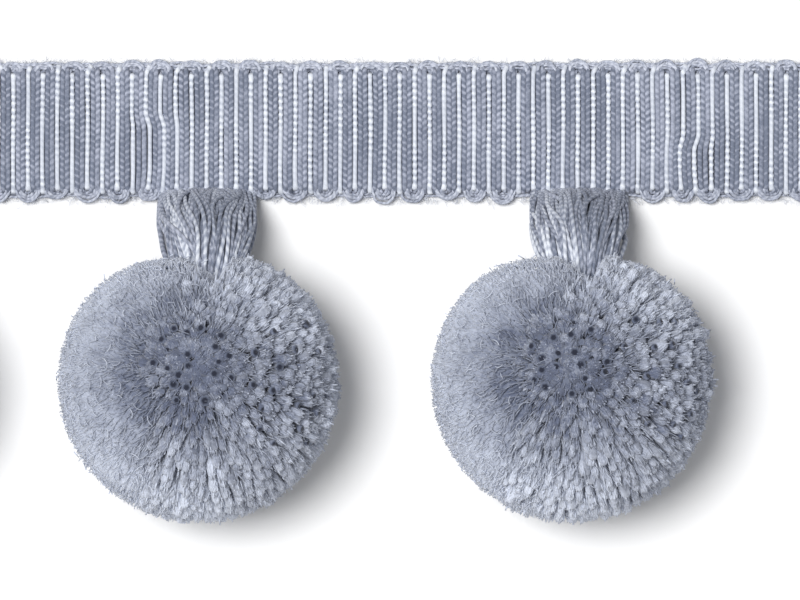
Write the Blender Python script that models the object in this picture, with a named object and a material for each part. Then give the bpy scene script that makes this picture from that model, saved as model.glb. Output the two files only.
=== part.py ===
"""Pompom fringe trim, lying face up: a ribbed braid heading, four looped yarn necks and four cut-yarn pompoms.

Units are metres. +X runs along the trim, +Y from the pompoms to the heading's top edge, +Z up from the surface
that the trim lies on. The origin is on that surface, in the middle of the trim's length and drop.
"""

import math

import bmesh
import bpy
import numpy as np
from mathutils import Vector

# Driving dimensions
POMPOM_COUNT = 4
PITCH = 0.050  # from one pompom's centre to the next
DROP = 0.0620  # from the heading's top edge to the pompoms' lowest point
HEADING_WIDTH = 0.0190  # with the loops of both edges
POMPOM_RADIUS = 0.0187
PIECE_GAP = 0.0003  # between pieces that touch

# The heading: ribs run across it, and the yarn turns back in a loop for each two ribs at both edges
RIB_COUNT = 100
TOP_LOOP = 0.0014  # how far the loops stand out past the ribs
BOTTOM_LOOP = 0.0017
GROUND_THICKNESS = 0.0014  # of the braid between two ribs
RIB_THICKNESS = 0.0025  # of the braid through a rib
LOOP_THICKNESS = 0.0012
LEAST_LOOP = 0.5  # the share of a loop's reach that is left between two loops
RIB_FOOT, RIB_SHOULDER = 0.14, 0.28  # shares of the rib pitch, from its edge to where it rises and is full
NECK_RECESS = 0.00015  # the loops give way to this at a neck
NECK_CLEARANCE = 0.0009  # from a neck's side to the first loop beside it

# The pompoms: a wound middle with cut locks standing out of it, pressed level where they meet the surface
SINK = 0.0020  # how much a pompom is flattened underneath
CORE_SHARE = 0.62  # the wound middle's share of the radius
LOCK_ROWS = 3  # locks along each side of the cube that the ball is divided as
LOCK_INSET = 0.00035  # half the gap between two locks at their roots
LOCK_SHOULDER = 0.90  # the share of the radius at which a lock starts to round off
LOCK_TIP = 0.55  # the width of a lock's tip, as a share of the width at its shoulder
LOCK_WOBBLE = 0.07  # how unevenly the locks divide the ball
OPENING_SPREAD = math.radians(13)  # how far locks are parted sideways by the neck
DENT_DEPTH, DENT_ANGLE = 0.12, math.radians(30)  # the pompom is shorter round its neck

# The necks: loops of the heading's yarn, gathered into the pompom
NECK_SHIFT = 0.0011  # from the pompom's centre line to the neck's
STRAND_COUNT = 16
NECK_SECTIONS = (
    # down from the ribs, height of the middle, half width, half depth, groove between strands, rise in degrees
    (NECK_RECESS + PIECE_GAP, 0.00120, 0.00650, 0.00105, 0.00000, 0),
    (0.00100, 0.00130, 0.00655, 0.00112, 0.00020, 12),
    (0.00260, 0.00400, 0.00660, 0.00240, 0.00060, 54),
    (0.00450, 0.00800, 0.00670, 0.00350, 0.00090, 60),
    (0.00660, 0.01200, 0.00645, 0.00410, 0.00100, 56),
    (0.00900, 0.01550, 0.00560, 0.00400, 0.00090, 44),
    (0.01170, 0.01750, 0.00430, 0.00350, 0.00070, 24),
    (0.01500, 0.01800, 0.00300, 0.00270, 0.00040, 4),
)

LENGTH = POMPOM_COUNT * PITCH
RIB_PITCH = LENGTH / RIB_COUNT
TOP_EDGE = DROP / 2
RIBS_TOP = TOP_EDGE - TOP_LOOP
RIBS_BOTTOM = TOP_EDGE - HEADING_WIDTH + BOTTOM_LOOP
POMPOM_Y = POMPOM_RADIUS - DROP / 2
POMPOM_HEIGHT = POMPOM_RADIUS - SINK
POMPOM_X = [(i - (POMPOM_COUNT - 1) / 2) * PITCH for i in range(POMPOM_COUNT)]
NECK_HALF_WIDTH = NECK_SECTIONS[0][2]


def clear_scene():
    for obj in list(bpy.data.objects):
        bpy.data.objects.remove(obj)


def yarn_material(name, colour, roughness):
    material = bpy.data.materials.new(name)
    material.use_nodes = True
    shader = material.node_tree.nodes["Principled BSDF"]
    shader.inputs["Base Color"].default_value = (*colour, 1)
    shader.inputs["Roughness"].default_value = roughness
    shader.inputs["Metallic"].default_value = 0
    return material


def add_object(name, bm, material, collection):
    """Turns a bmesh into a named object with its material."""
    bmesh.ops.recalc_face_normals(bm, faces=bm.faces)
    mesh = bpy.data.meshes.new(name)
    bm.to_mesh(mesh)
    bm.free()
    mesh.materials.append(material)
    obj = bpy.data.objects.new(name, mesh)
    collection.objects.link(obj)
    return obj


def loop_reach(x, depth, at_bottom):
    """How far the edge stands out past the ribs at x: a half wave for each two ribs, none of it at a neck."""
    if at_bottom:
        beside = min(abs(x - centre - NECK_SHIFT) for centre in POMPOM_X)
        if beside < NECK_HALF_WIDTH + NECK_CLEARANCE:
            return NECK_RECESS
    ribs_along = (x + LENGTH / 2) / RIB_PITCH + (1 if at_bottom else 0)
    wave = abs(math.sin(math.pi * ribs_along / 2))
    return depth * (LEAST_LOOP + (1 - LEAST_LOOP) * wave)


def rib_columns():
    """(x, share of the rib's height) of each line of points along the heading."""
    columns = [(-LENGTH / 2, 0)]
    for i in range(RIB_COUNT):
        left = i * RIB_PITCH - LENGTH / 2
        columns += [
            (left + RIB_FOOT * RIB_PITCH, 0),
            (left + RIB_SHOULDER * RIB_PITCH, 1),
            (left + (1 - RIB_SHOULDER) * RIB_PITCH, 1),
            (left + (1 - RIB_FOOT) * RIB_PITCH, 0),
        ]
    return columns + [(LENGTH / 2, 0)]


def heading_rows(columns):
    """The points on the heading's face, in four rows: bottom loops, both ends of the ribs, and top loops."""
    heights = [GROUND_THICKNESS + rib * (RIB_THICKNESS - GROUND_THICKNESS) for x, rib in columns]
    return (
        [(x, RIBS_BOTTOM - loop_reach(x, BOTTOM_LOOP, True), LOOP_THICKNESS) for x, rib in columns],
        [(x, RIBS_BOTTOM, height) for (x, rib), height in zip(columns, heights)],
        [(x, RIBS_TOP, height) for (x, rib), height in zip(columns, heights)],
        [(x, RIBS_TOP + loop_reach(x, TOP_LOOP, False), LOOP_THICKNESS) for x, rib in columns],
    )


def build_heading(material, collection):
    """A grid raised into ribs and scalloped at both edges, then drawn down to a flat back."""
    columns = rib_columns()
    rows = heading_rows(columns)
    bm = bmesh.new()
    bmesh.ops.create_grid(bm, x_segments=len(columns) - 1, y_segments=len(rows) - 1, size=1)
    for vert, point in zip(bm.verts, sum(rows, [])):
        vert.co = point
    drawn = bmesh.ops.extrude_face_region(bm, geom=bm.faces[:] + bm.edges[:] + bm.verts[:])
    back = [item for item in drawn["geom"] if isinstance(item, bmesh.types.BMVert)]
    for vert in back:
        vert.co.z = 0
    flat = [face for face in bm.faces if all(vert.co.z == 0 for vert in face.verts)]
    bmesh.ops.dissolve_faces(bm, faces=flat, use_verts=True)
    return add_object("heading", bm, material, collection)


def neck_ring(section, x):
    """The points round one section of a neck: an ellipse with a groove between each two strands."""
    down, height, half_width, half_depth, groove, rise = section
    slope = math.radians(rise)
    across, through = Vector((1, 0, 0)), Vector((0, math.sin(slope), math.cos(slope)))
    centre = Vector((x, RIBS_BOTTOM - down, height))
    points = []
    for k in range(3 * STRAND_COUNT):
        angle = 2 * math.pi * (k + 0.5) / (3 * STRAND_COUNT)
        cut = groove if k % 3 == 0 else 0
        side = across * (half_width - cut) * math.cos(angle)
        points.append(centre + side + through * (half_depth - cut) * math.sin(angle))
    return points


def build_neck(name, x, material, collection):
    """A capped ring of edges, extruded from section to section of the bundle."""
    bm = bmesh.new()
    ring = bmesh.ops.create_circle(bm, cap_ends=True, segments=3 * STRAND_COUNT, radius=1)["verts"]
    for vert, point in zip(ring, neck_ring(NECK_SECTIONS[0], x)):
        vert.co = point
    edges = [edge for edge in bm.edges if edge.is_boundary]
    for section in NECK_SECTIONS[1:]:
        drawn = bmesh.ops.extrude_edge_only(bm, edges=edges)["geom"]
        verts = [item for item in drawn if isinstance(item, bmesh.types.BMVert)]
        edges = [item for item in drawn if isinstance(item, bmesh.types.BMEdge)]
        for vert, point in zip(verts, neck_ring(section, x)):
            vert.co = point
    bmesh.ops.contextual_create(bm, geom=edges)
    return add_object(name, bm, material, collection)


def divide_ball(rng):
    """A cube cut into rows of squares and blown up to a unit ball, made uneven and parted sideways at the neck.

    Returns its mesh and the column of faces on the neck's side, which the neck needs free.
    """
    bm = bmesh.new()
    bmesh.ops.create_cube(bm, size=2)
    bmesh.ops.subdivide_edges(bm, edges=bm.edges[:], cuts=LOCK_ROWS - 1, use_grid_fill=True)
    column = 1 / LOCK_ROWS
    opening = [
        face for face in bm.faces
        if face.normal.y > 0.5 and abs(face.calc_center_median().x) < column
    ]
    beside_neck = {vert for vert in bm.verts if vert.co.y > 1 - column}
    for vert in bm.verts:
        even = Vector([math.tan(part * math.pi / 4) for part in vert.co]).normalized()
        wobble = Vector(rng.uniform(-LOCK_WOBBLE, LOCK_WOBBLE, 3))
        way = even if vert in beside_neck else (even + wobble).normalized()
        turn = math.atan2(way.x, way.y)
        if abs(turn) < math.pi / 2:
            level = math.hypot(way.x, way.y)
            turn += OPENING_SPREAD * math.sin(2 * turn)
            way = Vector((level * math.sin(turn), level * math.cos(turn), way.z))
        vert.co = way
    return bm, opening


def reach(way, share):
    """How far a lock reaches from the pompom's centre: to the sheared ball, dented at the neck, or to the surface."""
    off_neck = way.angle(Vector((0, 1, 0))) / DENT_ANGLE
    length = POMPOM_RADIUS * share * (1 - DENT_DEPTH * math.exp(-off_neck * off_neck))
    if way.z < 0:
        length = min(length, POMPOM_HEIGHT / -way.z)
    return length


def draw_out(bm, faces, share, width):
    """Extrudes each face by itself to a share of its lock's reach, and narrows it there."""
    ends = bmesh.ops.extrude_discrete_faces(bm, faces=faces)["faces"]
    for face in ends:
        middle = face.calc_center_median()
        for vert in face.verts:
            way = middle.lerp(vert.co, width).normalized()
            vert.co = way * reach(way, share)
    return ends


def build_pompom(name, x, seed, material, collection):
    """Each face of the divided ball is inset and drawn out into a lock, but for those where the neck goes in."""
    bm, opening = divide_ball(np.random.default_rng(seed))
    locks = [face for face in bm.faces if face not in opening]
    for vert in bm.verts:
        vert.co *= POMPOM_RADIUS * CORE_SHARE
    bmesh.ops.inset_individual(bm, faces=locks, thickness=LOCK_INSET, use_even_offset=True)
    shoulders = draw_out(bm, locks, LOCK_SHOULDER, 1)
    draw_out(bm, shoulders, 1, LOCK_TIP)
    bmesh.ops.translate(bm, verts=bm.verts, vec=(x, POMPOM_Y, POMPOM_HEIGHT))
    return add_object(name, bm, material, collection)


def main():
    clear_scene()
    trim = bpy.data.collections.new("pompom fringe trim")
    bpy.context.scene.collection.children.link(trim)
    braid = yarn_material("braid yarn", (0.30, 0.33, 0.40), 0.65)
    skein = yarn_material("neck yarn", (0.36, 0.39, 0.46), 0.50)
    wool = yarn_material("pompom yarn", (0.28, 0.31, 0.39), 0.90)
    build_heading(braid, trim)
    for number, x in enumerate(POMPOM_X, 1):
        build_neck(f"neck_{number}", x + NECK_SHIFT, skein, trim)
        build_pompom(f"pompom_{number}", x, number, wool, trim)


main()
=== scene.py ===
import math

import bpy
import numpy as np
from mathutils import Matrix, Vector


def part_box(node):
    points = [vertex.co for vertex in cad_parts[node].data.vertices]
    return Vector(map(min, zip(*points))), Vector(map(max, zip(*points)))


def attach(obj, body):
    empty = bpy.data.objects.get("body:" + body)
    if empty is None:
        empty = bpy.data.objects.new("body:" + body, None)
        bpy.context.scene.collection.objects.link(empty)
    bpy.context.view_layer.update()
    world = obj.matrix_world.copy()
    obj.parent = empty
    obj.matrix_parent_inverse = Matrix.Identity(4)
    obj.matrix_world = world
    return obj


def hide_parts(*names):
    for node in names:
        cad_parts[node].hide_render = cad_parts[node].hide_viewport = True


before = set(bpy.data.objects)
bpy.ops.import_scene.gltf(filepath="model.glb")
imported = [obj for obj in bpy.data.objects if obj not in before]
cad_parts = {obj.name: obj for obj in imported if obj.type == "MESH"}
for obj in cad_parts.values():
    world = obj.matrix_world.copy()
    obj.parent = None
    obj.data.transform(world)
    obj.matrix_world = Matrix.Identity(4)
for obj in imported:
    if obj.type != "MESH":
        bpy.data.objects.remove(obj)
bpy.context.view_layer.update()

# %% [markdown]
# A pompom fringe trim is a ribbed braid from which cut-yarn pompoms hang on short necks of looped yarn.
# Every part of it is yarn, so nearly everything below is one idea used many times: a tube that follows a
# path, with a cross-section that turns as it goes. All shapes are worked out in millimetres as whole numpy
# arrays and become metres when they are put into a mesh.

# %% Sizes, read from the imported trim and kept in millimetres
MM = 0.001


def box_mm(node):
    """Lowest and highest corner of a node, in millimetres."""
    low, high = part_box(node)
    return np.array(low) / MM, np.array(high) / MM


heading_low, heading_high = box_mm("heading")
POMPOMS = sorted(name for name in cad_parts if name.startswith("pompom"))
NECKS = sorted(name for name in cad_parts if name.startswith("neck"))
LEFT, RIGHT = heading_low[0], heading_high[0]
RIB_COUNT = 100
RIB_PITCH = (RIGHT - LEFT) / RIB_COUNT
TOP_LOOP, BOTTOM_LOOP = 1.4, 1.7
RIBS_TOP, RIBS_BOTTOM = heading_high[1] - TOP_LOOP, heading_low[1] + BOTTOM_LOOP
RIB_HEIGHT = heading_high[2]
RIB_LENGTH = RIBS_TOP - RIBS_BOTTOM
print(f"heading {RIGHT - LEFT:.0f} mm long, ribs {RIB_LENGTH:.1f} mm long, {len(POMPOMS)} pompoms")

# %% [markdown]
# Real yarn is never quite regular. `drift` makes smooth unevenness out of sine waves in fixed random
# directions. `ease` turns a range into a soft step from 0 to 1, and `hill` rises to 1 and falls again.

# %% Unevenness
WAVES = 7


def drift(points, size, seed):
    """Smooth noise, about -1 to 1: the mean of seven sine waves over the points, each about size long."""
    rng = np.random.default_rng(seed)
    ways = rng.normal(size=(WAVES, np.shape(points)[-1])) * 4 / size
    return 1.5 * np.sin(points @ ways.T + rng.uniform(0, 2 * np.pi, WAVES)).mean(-1)


def ease(x, start, end):
    """0 before start and 1 after end, with a smooth S between them: 3t^2 - 2t^3."""
    t = np.clip((x - start) / (end - start), 0, 1)
    return t * t * (3 - 2 * t)


def hill(x, middle, width):
    """1 at the middle and 0 far from it: e to the power of minus ((x - middle) / width)^2."""
    return np.exp(-(((x - middle) / width) ** 2))


def unit(vectors):
    """Each vector divided by its length."""
    return vectors / np.linalg.norm(vectors, axis=-1, keepdims=True)


sample = drift(np.linspace(LEFT, RIGHT, 400)[:, None], 6, 0)
print(f"drift along the trim runs from {sample.min():.2f} to {sample.max():.2f}")

# %% [markdown]
# `loft` skins rings of points with quads and closes both ends. `tubes` makes those rings: at each point of
# a path it stands a circle square to the path. Twisted yarn bulges where a ply comes to the front, so each
# point of a tube also knows how many turns of the twist it has passed, and both the shape and the finish
# use that.

# %% Tubes along paths
GOLDEN_ANGLE = math.pi * (3 - math.sqrt(5))
TABLE_GAP = 0.05  # nothing comes closer to the table than this


def loft(points, **values):
    """Skins rings of points, shaped (tube, ring, side, xyz), that turn counterclockwise about their run.

    Returns the points, quads, triangles, flat-map places of both and the values, which are spread over
    (tube, ring, side). On the flat map a tube's wall fills the left of a cell, and its ends are two ovals on
    the right.
    """
    count, rings, sides = points.shape[:3]
    index = np.arange(count * rings * sides).reshape(count, rings, sides)
    after = np.roll(index, -1, axis=2)
    quads = np.stack([index[:, :-1], after[:, :-1], after[:, 1:], index[:, 1:]], -1)
    fan = np.arange(1, sides - 1)
    hub = np.zeros_like(fan)
    first, last = index[:, 0], index[:, -1]
    start = np.stack([first[:, hub], first[:, fan + 1], first[:, fan]], -1)
    end = np.stack([last[:, hub], last[:, fan], last[:, fan + 1]], -1)

    ring, side = np.meshgrid(np.arange(rings - 1), np.arange(sides), indexing="ij")
    corner_side = np.stack([side, side + 1, side + 1, side], -1) / sides
    corner_ring = np.stack([ring, ring, ring + 1, ring + 1], -1) / (rings - 1)
    wall_places = np.stack([0.02 + 0.76 * corner_side, 0.02 + 0.96 * corner_ring], -1)
    turn = 2 * np.pi * np.arange(sides) / sides
    disc = np.stack([0.9 + 0.08 * np.cos(turn), 0.25 + 0.2 * np.sin(turn)], -1)
    start_places = disc[np.stack([hub, fan + 1, fan], -1)]
    end_places = disc[np.stack([hub, fan, fan + 1], -1)] + (0, 0.5)

    def for_each_tube(places):
        return np.broadcast_to(places, (count, *places.shape))

    return {
        "points": points.reshape(-1, 3),
        "quads": quads.reshape(count, -1, 4),
        "tris": np.concatenate([start, end], 1),
        "quad_places": for_each_tube(wall_places.reshape(-1, 4, 2)),
        "tri_places": for_each_tube(np.concatenate([start_places, end_places])),
        "values": {name: np.broadcast_to(value, (count, rings, sides)) for name, value in values.items()},
    }


def tubes(paths, radii, sides, up, turns=0.0, swell=0.0, **values):
    """Tubes along paths shaped (tube, ring, xyz), with radii, turns and values for each (tube, ring).

    A ring's point at angle a is path + r (cos a N + sin a B), where N is up made square to the path, B is
    square to both, and r is the radius times 1 + swell cos(2 pi turn). The turn is turns + a / (2 pi), so
    that bulges lean, and its seam is on the side away from up.
    """
    along = unit(np.gradient(paths, axis=1))
    normal = unit(up - (up * along).sum(-1, keepdims=True) * along)
    across = np.cross(along, normal)
    angle = 2 * np.pi * np.arange(sides) / sides - np.pi
    turn = np.broadcast_to(turns, paths.shape[:2])[..., None] + angle / (2 * np.pi)
    spread = 1 + np.broadcast_to(swell, paths.shape[:2])[..., None] * np.cos(2 * np.pi * turn)
    reach = np.broadcast_to(radii, paths.shape[:2])[..., None] * spread
    spokes = np.cos(angle)[:, None] * normal[:, :, None] + np.sin(angle)[:, None] * across[:, :, None]
    points = paths[:, :, None] + reach[..., None] * spokes
    points[..., 2] = np.maximum(points[..., 2], TABLE_GAP)
    values = {name: np.broadcast_to(value, paths.shape[:2])[..., None] for name, value in values.items()}
    return loft(points, turn=turn, **values)


sample = tubes(np.array([[[0, 0, 1.0], [0, 0, 2.0]]]), 0.5, 6, np.array([1.0, 0, 0]))
print(f"a six-sided tube of one step: {sample['quads'].shape[1]} quads, {sample['tris'].shape[1]} triangles")

# %% [markdown]
# One mesh holds all the tubes of a piece. Its flat map is a grid of square cells with a tube in each. Too
# many cells would be small and blur, so tubes are put in order of shade and neighbours share a cell.

# %% Meshes
CELLS = 256  # at most, on one piece's flat map
print(f"a flat map has up to {CELLS} cells, {math.isqrt(CELLS)} in a row")


def shade_cells(parts):
    """A cell's number for each tube of each part, in the order of the tubes' mean values."""
    names = list(parts[0]["values"])
    means = [np.concatenate([part["values"][name].mean((1, 2)) for part in parts]) for name in names]
    order = np.lexsort(means)
    cell = np.empty(len(order), int)
    cell[order] = np.arange(len(order)) * min(CELLS, len(order)) // len(order)
    return np.split(cell, np.cumsum([len(part["quads"]) for part in parts[:-1]]))


def make_piece(name, parts, material, nodes=()):
    """Joins lofted parts into one object and sets it on the body and in place of its solids."""
    points = np.concatenate([part["points"] for part in parts]) * MM
    starts = np.cumsum([0] + [len(part["points"]) for part in parts[:-1]])
    cells = shade_cells(parts)
    across = math.ceil(math.sqrt(max(cell.max() for cell in cells) + 1))
    quads, tris, quad_places, tri_places = [], [], [], []
    for part, start, cell in zip(parts, starts, cells):
        corner = np.stack([cell % across, cell // across], -1)[:, None, None]
        quads.append((part["quads"] + start).reshape(-1, 4))
        tris.append((part["tris"] + start).reshape(-1, 3))
        quad_places.append(((part["quad_places"] + corner) / across).reshape(-1, 2))
        tri_places.append(((part["tri_places"] + corner) / across).reshape(-1, 2))
    quads, tris = np.concatenate(quads), np.concatenate(tris)
    mesh = bpy.data.meshes.new(name)
    mesh.vertices.add(len(points))
    mesh.vertices.foreach_set("co", points.astype(np.float32).ravel())
    mesh.loops.add(quads.size + tris.size)
    mesh.loops.foreach_set("vertex_index", np.concatenate([quads.ravel(), tris.ravel()]))
    mesh.polygons.add(len(quads) + len(tris))
    face_starts = np.concatenate([4 * np.arange(len(quads)), quads.size + 3 * np.arange(len(tris))])
    mesh.polygons.foreach_set("loop_start", face_starts)
    mesh.update(calc_edges=True)
    flat_map = mesh.uv_layers.new(name="OFBake")
    flat_map.uv.foreach_set("vector", np.concatenate(quad_places + tri_places).astype(np.float32).ravel())
    for value in parts[0]["values"]:
        numbers = np.concatenate([part["values"][value].ravel() for part in parts]).astype(np.float32)
        mesh.attributes.new(value, "FLOAT", "POINT").data.foreach_set("value", numbers)
    mesh.shade_smooth()
    mesh.materials.append(material)
    piece = bpy.data.objects.new(name, mesh)
    bpy.context.scene.collection.objects.link(piece)
    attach(piece, "root")
    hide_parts(*nodes)
    print(f"{name}: {sum(map(len, cells))} tubes, {2 * len(quads) + len(tris)} triangles")
    return piece


# %% [markdown]
# Shader maths reads best as sums. `Value` wraps a socket, so that `1 - mask * 0.3` adds the Math nodes by
# itself, and `Finish` is one material: its constants sit on the Principled shader's own sockets.

# %% Material helpers
BUMP_STRENGTH = 0.6


class Value:
    """A node's output that can be used in sums."""

    def __init__(self, finish, socket):
        self.finish = finish
        self.socket = socket

    def maths(self, operation, first, second):
        return self.finish.node("ShaderNodeMath", {"operation": operation}, {0: first, 1: second})

    def __add__(self, other):
        return self.maths("ADD", self, other)

    def __radd__(self, other):
        return self.maths("ADD", other, self)

    def __sub__(self, other):
        return self.maths("SUBTRACT", self, other)

    def __rsub__(self, other):
        return self.maths("SUBTRACT", other, self)

    def __mul__(self, other):
        return self.maths("MULTIPLY", self, other)

    def __rmul__(self, other):
        return self.maths("MULTIPLY", other, self)

    def wave(self):
        """The cosine of this many whole turns."""
        return self.maths("COSINE", self * (2 * math.pi), 0.0)


class Finish:
    """A material and its nodes."""

    def __init__(self, name, **constants):
        self.material = bpy.data.materials.new(name)
        self.material.use_nodes = True
        self.tree = self.material.node_tree
        self.shader = self.tree.nodes["Principled BSDF"]
        for socket, number in constants.items():
            self.shader.inputs[socket.replace("_", " ")].default_value = number

    def node(self, kind, settings=None, sockets=None, output=0):
        """Adds a node: its settings first, then a number or a Value for each named or numbered input."""
        made = self.tree.nodes.new(kind)
        for name, setting in (settings or {}).items():
            setattr(made, name, setting)
        for name, given in (sockets or {}).items():
            if isinstance(given, Value):
                self.tree.links.new(given.socket, made.inputs[name])
            else:
                made.inputs[name].default_value = given
        return Value(self, made.outputs[output])

    def attribute(self, name):
        return self.node("ShaderNodeAttribute", {"attribute_name": name}, output="Fac")

    def noise(self, size_mm):
        """Noise from 0 to 1 on the object's own coordinates, with features of about that size."""
        place = self.node("ShaderNodeTexCoord", output="Object")
        sockets = {"Vector": place, "Scale": 1 / (size_mm * MM), "Detail": 2.0}
        return self.node("ShaderNodeTexNoise", {"noise_dimensions": "3D"}, sockets)

    def mix(self, share, first, second):
        """A colour between two: share 0 is the first and 1 the second."""
        first, second = ((*c, 1) if isinstance(c, tuple) else c for c in (first, second))
        return self.node("ShaderNodeMix", {"data_type": "RGBA"}, {0: share, 6: first, 7: second}, output=2)

    def finish(self, colour, roughness=None, bump=None, bump_mm=0.0):
        """Joins what varies to the shader, and returns the material."""
        self.tree.links.new(colour.socket, self.shader.inputs["Base Color"])
        if roughness is not None:
            self.tree.links.new(roughness.socket, self.shader.inputs["Roughness"])
        if bump is not None:
            sockets = {"Height": bump, "Distance": bump_mm * MM, "Strength": BUMP_STRENGTH}
            normal = self.node("ShaderNodeBump", None, sockets)
            self.tree.links.new(normal.socket, self.shader.inputs["Normal"])
        return self.material


# %% [markdown]
# Two yarns make the trim. The soft grey one is matt, and the silver one is smooth and lustrous. On the
# braid and the necks one finish covers both, and each thread says by its own `shine` value which yarn it
# is, so that the threads of a bundle can be mixed freely. `tint` says how pale it is, and `ply` how clearly
# its twist shows: the twist is a bump, and also painted shade in its grooves and painted highlights on its
# crests. The pompoms' cut yarn has no twist left: its colour is painted with shade at its root, where little
# light gets in, and it is pale at its tip; `along` says how far out a point is.

# %% Yarn finishes
GREY_DEEP, GREY_PALE = (0.14, 0.16, 0.215), (0.42, 0.445, 0.535)
SILVER_DEEP, SILVER = (0.27, 0.30, 0.38), (0.67, 0.70, 0.76)
# Painted shade: the near black of the pits' dark plugs, and the dark of the pile deep between the tufts.
PILE_PIT_SHADE, PILE_DEPTH_SHADE = (0.018, 0.021, 0.035), (0.09, 0.105, 0.15)
PILE_DIM, PILE_PALE = (0.115, 0.133, 0.195), (0.63, 0.675, 0.785)
STREAKS = 11  # fibres that show round a tuft's body
BRAID_RELIEF, PILE_RELIEF = 0.08, 0.25  # depth of the bump


def braid_yarn(name):
    """Grey and silver twisted yarn, mixed by each thread's shine, with a little fibre unevenness."""
    finish = Finish(name, Specular_IOR_Level=0.3, Sheen_Weight=0.1, Sheen_Roughness=0.4)
    tint, shine = finish.attribute("tint"), finish.attribute("shine")
    fibre, patch = finish.noise(0.22), finish.noise(0.55)
    # The twist's wave darkens the colour in its grooves and pales it on its crests: painted shade and painted
    # highlight, besides the bump it also makes.
    twist_relief_and_painted_shade = finish.attribute("turn").wave() * finish.attribute("ply") * (patch * 2)
    grey = finish.mix(tint * 0.8 + fibre * 0.7 + patch * 0.8 + twist_relief_and_painted_shade * 0.32 - 0.73, GREY_DEEP, GREY_PALE)
    silver = finish.mix(tint * 0.7 + fibre * 0.4 + twist_relief_and_painted_shade * 0.4 - 0.1, SILVER_DEEP, SILVER)
    relief = fibre * 0.5 + twist_relief_and_painted_shade * 0.5
    return finish.finish(finish.mix(shine, grey, silver), 0.85 - shine * 0.35, relief, BRAID_RELIEF)


def pile_yarn(name):
    """Cut yarn: painted shade at its root and pale at its tip, with fibres that streak a tuft's body along
    it.
    """
    finish = Finish(name, Specular_IOR_Level=0.15, Sheen_Weight=0.2, Sheen_Roughness=0.5)
    tint, along, ply = finish.attribute("tint"), finish.attribute("along"), finish.attribute("ply")
    fibre, clump, patch = finish.noise(0.32), finish.noise(0.9), finish.noise(2.4)
    streaks = (finish.attribute("turn") * STREAKS + clump * 3).wave() * ply
    uneven = (fibre - 0.5) * (0.5 + 0.05 * ply) + (clump - 0.5) * 0.45 + (patch - 0.5) * 0.65
    body = finish.mix(tint + uneven + streaks * 0.06, PILE_DIM, PILE_PALE)
    relief = fibre * 0.7 + streaks * 0.4 + clump
    # Painted shade: where along is low the colour goes to the pile's depth shade, and near 0 to the pits'
    # near black.
    root = finish.mix(along * 6, PILE_PIT_SHADE, PILE_DEPTH_SHADE)
    return finish.finish(finish.mix(along, root, body), 0.95 - fibre * 0.15, relief, PILE_RELIEF)


braid_finish = braid_yarn("braid_yarn")
pile_finish = pile_yarn("pile_yarn")
print("finishes:", braid_finish.name, pile_finish.name)

# %% [markdown]
# The braid's ground is a thin flat sheet of cloth that hardly shows between the yarns. It is lofted along
# the trim from one profile, and gets thinner at both edges, where the yarn turns back.

# %% The braid's ground
GROUND_TOP = 1.36
CUT_END = 0.32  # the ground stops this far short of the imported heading's ends


def ground_sheet():
    """Rings along x: a flat back on the table, thin edges, and a face that swells a little under each rib.

    At both cut ends the face rises to the last rib.
    """
    x = np.linspace(LEFT + CUT_END, RIGHT - CUT_END, 2 * RIB_COUNT + 1)
    low, high = RIBS_BOTTOM - 0.9, RIBS_TOP + 0.8
    face_y = np.concatenate([[high], np.linspace(high - 0.7, low + 0.7, 9), [low]])
    swell = 0.12 * np.cos(2 * np.pi * (x - LEFT - RIB_PITCH / 2) / RIB_PITCH)
    swell[[0, 1, -2, -1]] = 0.35
    fall = np.array([0.5, 1, 1, 1, 1, 1, 1, 1, 1, 1, 0.5])
    face_z = (GROUND_TOP + swell[:, None]) * fall
    y = np.concatenate([face_y, [low, high]])
    ring = np.empty((1, len(x), len(y), 3))
    ring[0, :, :, 0] = x[:, None]
    ring[0, :, :, 1] = y
    ring[0, :, :, 2] = np.concatenate([face_z, np.full((len(x), 2), TABLE_GAP)], 1)
    return loft(ring, turn=0.0, tint=0.95, shine=0.0, ply=0.0)


# %% [markdown]
# Each rib is two grey cords side by side, twisted opposite ways, and a silver thread fills the valley to
# the next rib. The silver thread is unevenly twisted: where the twist is tight it pinches into beads, and
# between those places it runs smooth. A low wander moves neighbouring yarns together, as the weave would,
# and three places on the trim are pulled well out of line.

# %% Ribs and silver threads
CORD_RADIUS, CORD_ASIDE, CORD_TWIST = 0.38, 0.31, 0.87
THREAD_RADIUS, THREAD_TWIST, THREAD_RINGS = 0.37, 0.9, 3  # rings for each turn of the twist
KNOB_PLACE, KNOB_SIZE = 0.3, 0.32  # the knob near a thread's end, painted with a highlight
PULLED = ((-31.0, 23.0, 2.8, 0.5), (41.5, 20.0, 2.6, -0.5), (66.0, 22.0, 2.4, 0.35))  # x, y, width, pull
UP = np.array([0, 0, 1.0])


def wander(points):
    """Moves points of the braid sideways: a little drift everywhere, and in pulled places a shift as well.

    That shift is pull times a hill along x, one way above the place's y and the other way below it.
    """
    moved = np.array(points, float)
    x, y = moved[..., 0], moved[..., 1]
    inside = ease(y, RIBS_BOTTOM - 1, RIBS_BOTTOM + 3) * (1 - ease(y, RIBS_TOP - 3, RIBS_TOP + 1))
    shift = 0.12 * drift(moved[..., :2] / (1, 3), 6, 11)
    for at_x, at_y, width, pull in PULLED:
        shift = shift + pull * hill(x, at_x, width) * (0.8 - 1.3 * ease(y, at_y - 1.2, at_y + 1.2))
    moved[..., 0] += shift * (0.35 + 0.65 * inside)
    return moved


def straight_paths(x, y, height):
    """One straight path up the braid for each x, with its ends dipped below the loops."""
    start, end = y[:, :1], y[:, -1:]
    dip = 0.5 * (1 - ease(y, start, start + 1)) + 0.5 * ease(y, end - 1, end)
    return np.stack(np.broadcast_arrays(np.reshape(x, (-1, 1)), y, height - dip), -1)


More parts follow.
